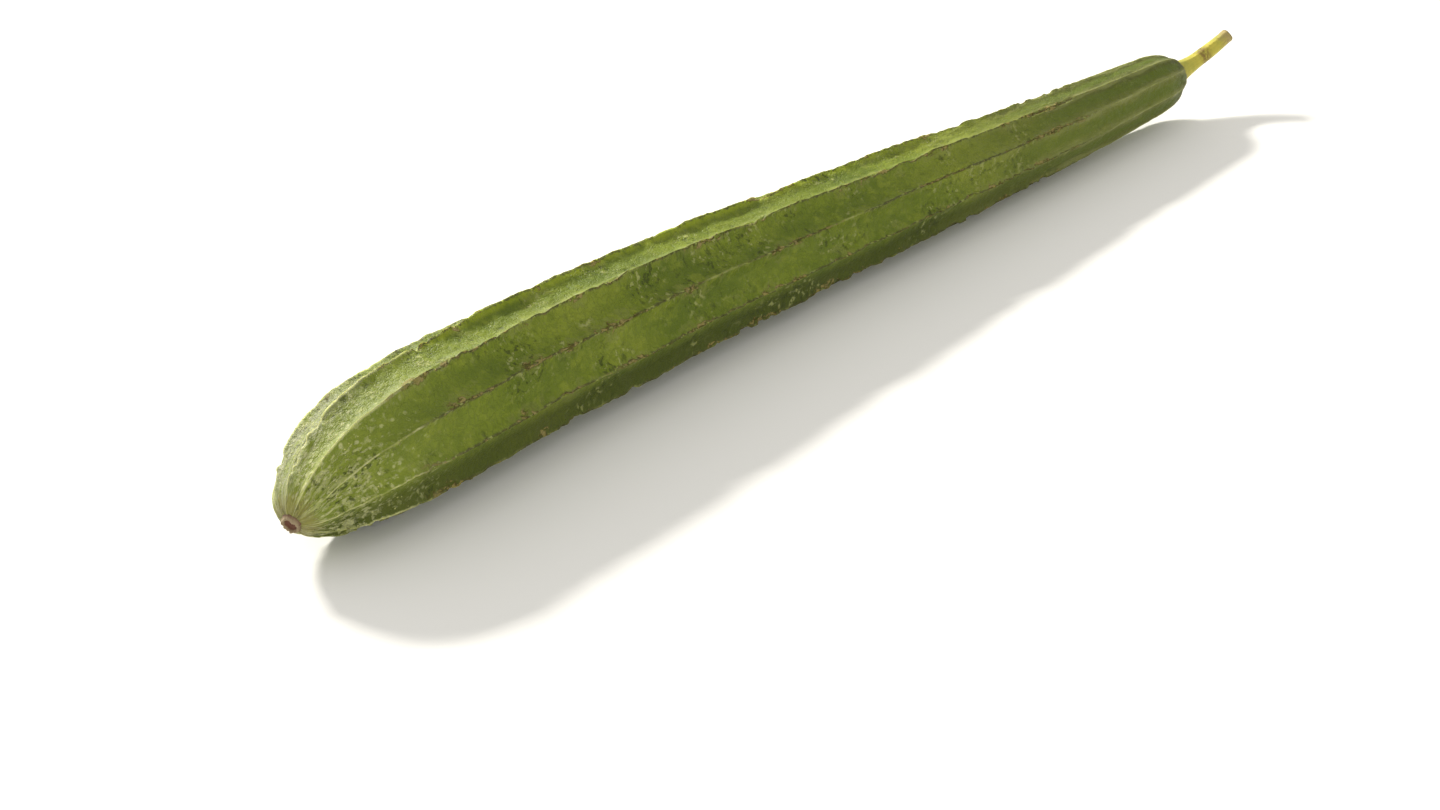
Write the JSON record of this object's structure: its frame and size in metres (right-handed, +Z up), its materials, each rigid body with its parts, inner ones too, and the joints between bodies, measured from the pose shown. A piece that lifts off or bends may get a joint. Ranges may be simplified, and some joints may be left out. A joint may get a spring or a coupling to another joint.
{
  "type": "ridge gourd",
  "caption": "Long, slightly bent club-shaped gourd with sharp lengthwise ridges and a short stalk, lying on its two lowest ridges.",
  "frame": {"origin": "middle of the bounding box's footprint, at the height of the surface that the gourd lies on", "axes": "+X along the gourd from the blossom end to the stalk, +Z up from the surface, +Y to the outside of its slight bend"},
  "size_m": [0.514, 0.0502, 0.0452],
  "materials": {
    "rind": "satin olive-green rind with a dull waxy sheen, brown scabs on the ridges",
    "stalk": "dull yellow-green fibrous stalk with brown patches"
  },
  "bodies": {
    "root": {"fruit": "rind", "stalk": "stalk"}
  },
  "joints": []
}
